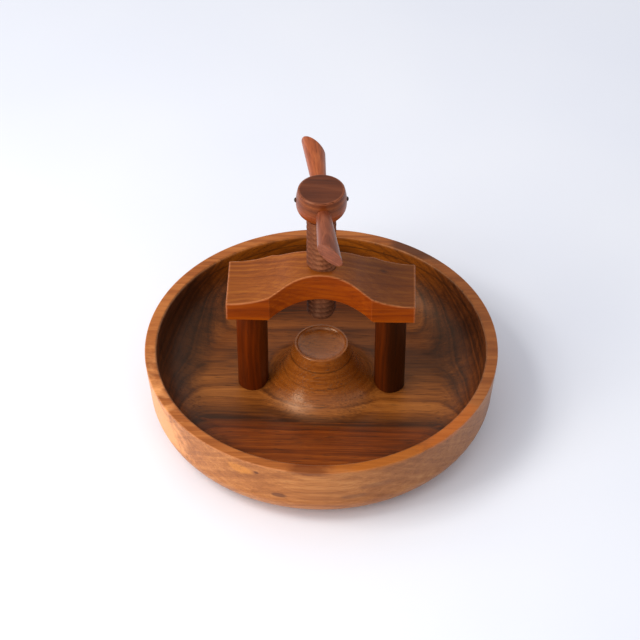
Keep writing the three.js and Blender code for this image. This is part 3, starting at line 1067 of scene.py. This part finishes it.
# Painted shade on the inner wall: centre, size, ragged edge, factor.
BOWL_PAINTED_SHADE = (
    ((-98, 30, 34), (26, 62, 30), 0.2, (0.35, 0.33, 0.30)),  # at the left, in the rim's shadow
    ((86, 34, 30), (18, 40, 18), 0.3, (0.52, 0.46, 0.42)),  # at the right
)


def floor_tone(nodes, value, distance):
    """The bowl's floor: tan in the inner growth layers, red-brown in the outer ones."""
    tan = tones(nodes, value, [(84, 40, 10), (134, 72, 22), (168, 98, 38)])
    red = tones(nodes, value, [(74, 29, 5), (120, 51, 9), (154, 75, 17)])
    return nodes.mix(nodes.remap(distance, 139.0, 143.5), tan, red)


def wall_tone(nodes, value, parts):
    """The bowl's inner wall: dark, but orange-brown high up at the back."""
    dark = tones(nodes, value, [(48, 22, 7), (90, 42, 13), (126, 65, 22)])
    orange = tones(nodes, value, [(104, 50, 7), (136, 68, 9), (160, 85, 14)])
    back = nodes.times(nodes.remap(parts[1], 58.0, 98.0), nodes.remap(parts[2], 26.0, 46.0))
    return nodes.mix(back, dark, orange)


def pedestal_tone(nodes, value, fibres):
    """The pedestal, which shows little figure."""
    plain = nodes.remap(weighed(nodes, (value, 0.22), (fibres, 0.6)), 0.1, 0.7)
    return tones(nodes, plain, [(118, 56, 12), (148, 76, 20), (172, 96, 34)])


def dark_figure(nodes, distance, streaks, height, slow):
    """Dark streaks along two of the growth layers, and two dark lines round the wall."""
    first = nodes.times(nodes.band(distance, 141.8, 3.6), nodes.remap(streaks, 0.3, 0.52))
    second = nodes.times(nodes.band(distance, 150.0, 4.5), nodes.remap(streaks, 0.42, 0.62))
    wavy = nodes.math("ADD", height, nodes.times(slow, 3.0))
    upper = nodes.band(wavy, 44.7, 0.9)
    lower = nodes.band(wavy, 33.0, 0.7)
    dark = weighed(nodes, (first, 0.9), (second, 0.5), (upper, 0.6), (lower, 0.35))
    return nodes.math("MINIMUM", dark, 0.9)


def outside_painted_shade(nodes, colour, parts, outside):
    """The outside has painted shade towards the right, away from the light, and the rim's top is darker
    than its side.
    """
    height = BOWL["height"]
    top = nodes.times(outside, nodes.remap(parts[2], height - 1.4, height - 0.3))
    # painted shade towards the right, away from the light
    right = nodes.times(outside, nodes.remap(parts[0], -20.0, 100.0), nodes.remap(top, 0.0, 1.0, 1.0, 0.6))
    colour = shaded(nodes, colour, right, (0.62, 0.64, 0.7))
    return shaded(nodes, colour, top, (0.84, 0.69, 0.57))


def bowl_wood():
    nodes = Nodes("bowl_wood")
    b = BOWL
    place = object_place(nodes)
    parts = nodes.split(place)
    radius = nodes.vector("LENGTH", nodes.join(parts[0], parts[1], 0.0))
    space = fibre_space(nodes, BOWL_PITH, FIBRE_X)
    fibres, streaks, pores, blotches = grain(nodes, space)
    distance = pith_distance(nodes, warped(nodes, space, 9.0))
    layers = nodes.noise_line(nodes.math("DIVIDE", distance, 3.2), 4, 0.65)
    fine_layers = nodes.noise_line(nodes.math("DIVIDE", distance, 1.1), 2, 0.6)
    slow = nodes.math("SUBTRACT", blotches, 0.5)

    # Zones: the inner wall, the pedestal, and the rim and outside, which are paler and plainer.
    wall = nodes.remap(radius, 78.0, 104.0)
    cone = nodes.times(nodes.remap(parts[2], 18.0, 25.0), nodes.remap(radius, 44.0, 50.0, 1.0, 0.0))
    outside = nodes.math("MAXIMUM", nodes.remap(radius, b["rim_inner"] - 0.2, b["rim_inner"] + 1.8),
                         nodes.remap(parts[2], b["floor"] - 4, b["floor"] - 8))

    value = weighed(nodes, (layers, 0.38), (streaks, 0.24), (fine_layers, 0.12),
                    (fibres, 0.26), (slow, 0.3))
    value = nodes.remap(value, 0.34, 0.66)
    colour = nodes.mix(wall, floor_tone(nodes, value, distance), wall_tone(nodes, value, parts))
    colour = nodes.mix(nodes.times(cone, 0.9), colour, pedestal_tone(nodes, value, fibres))
    behind = nodes.times(nodes.remap(parts[1], 0.0, 45.0), nodes.inverse(wall))
    colour = shaded(nodes, colour, behind, (0.66, 0.56, 0.48))
    colour = nodes.mix(dark_figure(nodes, distance, streaks, parts[2], slow), colour, rgb(42, 20, 9))

    # The outside keeps only a faint figure, with a few small knots.
    faint = weighed(nodes, (layers, 0.26), (streaks, 0.3), (fine_layers, 0.1),
                    (fibres, 0.24), (slow, 0.35))
    faint = nodes.remap(faint, 0.28, 0.64)
    pale = tones(nodes, faint, [(142, 78, 31), (180, 108, 50), (208, 138, 74)])
    colour = outside_painted_shade(nodes, nodes.mix(outside, colour, pale), parts, outside)
    for centre, size, ragged, share, tone in BOWL_MARKS:
        spot = patch(nodes, place, centre, size, ragged)
        colour = nodes.mix(nodes.times(spot, outside, share), colour, rgb(*tone))
    # painted shade on the inner wall
    for centre, size, ragged, factor in BOWL_PAINTED_SHADE:
        spot = patch(nodes, place, centre, size, ragged)
        colour = shaded(nodes, colour, nodes.times(spot, nodes.inverse(outside)), factor)

    depth = nodes.times(pores, nodes.math("SUBTRACT", 0.6, nodes.times(outside, 0.38)))
    colour = nodes.mix(depth, colour, rgb(46, 22, 8))
    # pale rim edges: part wear, part painted highlight, strongest at the left where the light falls
    edge = nodes.times(edge_wear_and_highlight(nodes), nodes.remap(fibres, 0.2, 0.6), 0.5)
    colour = nodes.mix(edge, colour, rgb(224, 156, 106))
    polish = nodes.math("SUBTRACT", 0.33, nodes.times(cone, 0.14))
    shine = nodes.math("ADD", 0.43, nodes.times(cone, 0.5))
    return oiled(nodes, colour, fibres, pores, polish, shine)


def steel():
    nodes = Nodes("steel")
    space = fibre_space(nodes, (0, 0, 0), FIBRE_Z)
    scratches = nodes.noise(nodes.stretch(space, (0.5, 6.0, 6.0)), 3)
    colour = nodes.ramp(scratches, [(0.3, rgb(150, 146, 140)), (0.7, rgb(196, 192, 186))])
    rough = nodes.remap(scratches, 0.2, 0.8, 0.28, 0.5)
    return nodes.surface(colour, rough, nodes.bump(scratches, 0.02, 0.5), Metallic=1.0)


def floor_paper():
    nodes = Nodes("pale_floor")
    space = fibre_space(nodes, (0, 0, 0), FIBRE_X)
    cloud = nodes.noise(nodes.stretch(space, (0.004,) * 3), 2)
    colour = nodes.ramp(cloud, [(0.3, rgb(240, 242, 250)), (0.7, rgb(246, 247, 252))])
    return nodes.surface(colour, 0.85, nodes.bump(cloud, 0.1, 0.2), Specular_IOR_Level=0.2)


# ---- camera, light and floor ----------------------------------------------

def make_camera():
    v = VIEW
    data = bpy.data.cameras.new("camera")
    data.lens = v["lens"]
    data.sensor_width = v["sensor"]
    data.clip_start = 0.05
    data.clip_end = 20
    camera = bpy.data.objects.new("camera", data)
    bpy.context.scene.collection.objects.link(camera)
    back = Vector((
        math.sin(v["azimuth"]) * math.cos(v["elevation"]),
        -math.cos(v["azimuth"]) * math.cos(v["elevation"]),
        math.sin(v["elevation"]),
    ))
    side = Vector((math.cos(v["azimuth"]), math.sin(v["azimuth"]), 0)) * v["target_side"]
    target = (side + Vector((0, 0, v["target_height"]))) * MM
    camera.location = target + back * v["distance"] * MM
    camera.rotation_euler = (-back).to_track_quat("-Z", "Y").to_euler()
    bpy.context.scene.camera = camera


def area_light(name, direction, distance, width, height, watts, colour):
    data = bpy.data.lights.new(name, "AREA")
    data.shape = "RECTANGLE"
    data.size = width
    data.size_y = height
    data.energy = watts
    data.color = colour
    light = bpy.data.objects.new(name, data)
    bpy.context.scene.collection.objects.link(light)
    direction = Vector(direction).normalized()
    light.location = direction * distance
    light.rotation_euler = (-direction).to_track_quat("-Z", "Y").to_euler()


def make_light():
    area_light("key", (-0.55, -0.22, 0.81), 1.2, 0.48, 0.48, 6.2, (1.0, 0.985, 0.96))
    area_light("left window", (-0.76, -0.54, 0.36), 1.3, 0.5, 0.6, 4.2, (1.0, 0.99, 0.97))
    area_light("front softbox", (-0.35, -0.61, 0.70), 1.2, 0.34, 0.34, 1.0, (1.0, 0.99, 0.98))
    world = bpy.data.worlds.new("studio")
    world.use_nodes = True
    background = world.node_tree.nodes["Background"]
    background.inputs["Color"].default_value = (0.93, 0.95, 1.0, 1.0)
    background.inputs["Strength"].default_value = 0.69
    scene = bpy.context.scene
    scene.world = world
    scene.view_settings.view_transform = "Standard"


def make_floor(material):
    half = 6.0  # metres
    mesh = bpy.data.meshes.new("floor")
    corners = [(-half, -half, 0), (half, -half, 0), (half, half, 0), (-half, half, 0)]
    mesh.from_pydata(corners, [], [(0, 1, 2, 3)])
    mesh.materials.append(material)
    floor = bpy.data.objects.new("floor", mesh)
    bpy.context.scene.collection.objects.link(floor)
    floor.location.z = -0.2 * MM  # just clear of the bowl's foot


# ---- everything together --------------------------------------------------

def make_object():
    make_bowl(bowl_wood())
    make_bridge(bridge_wood())
    post = post_wood()
    metal = steel()
    for side in SIDES:
        make_post(side, post)
        make_post_screw(side, metal)
    screw = screw_wood()
    make_press_screw(screw)
    make_tip(screw)
    make_knob(knob_wood())
    arm = arm_wood()
    make_arm("front", 0, arm)
    make_arm("rear", math.pi, arm)
    make_pin(pin_wood())


make_camera()
make_light()
make_floor(floor_paper())
make_object()
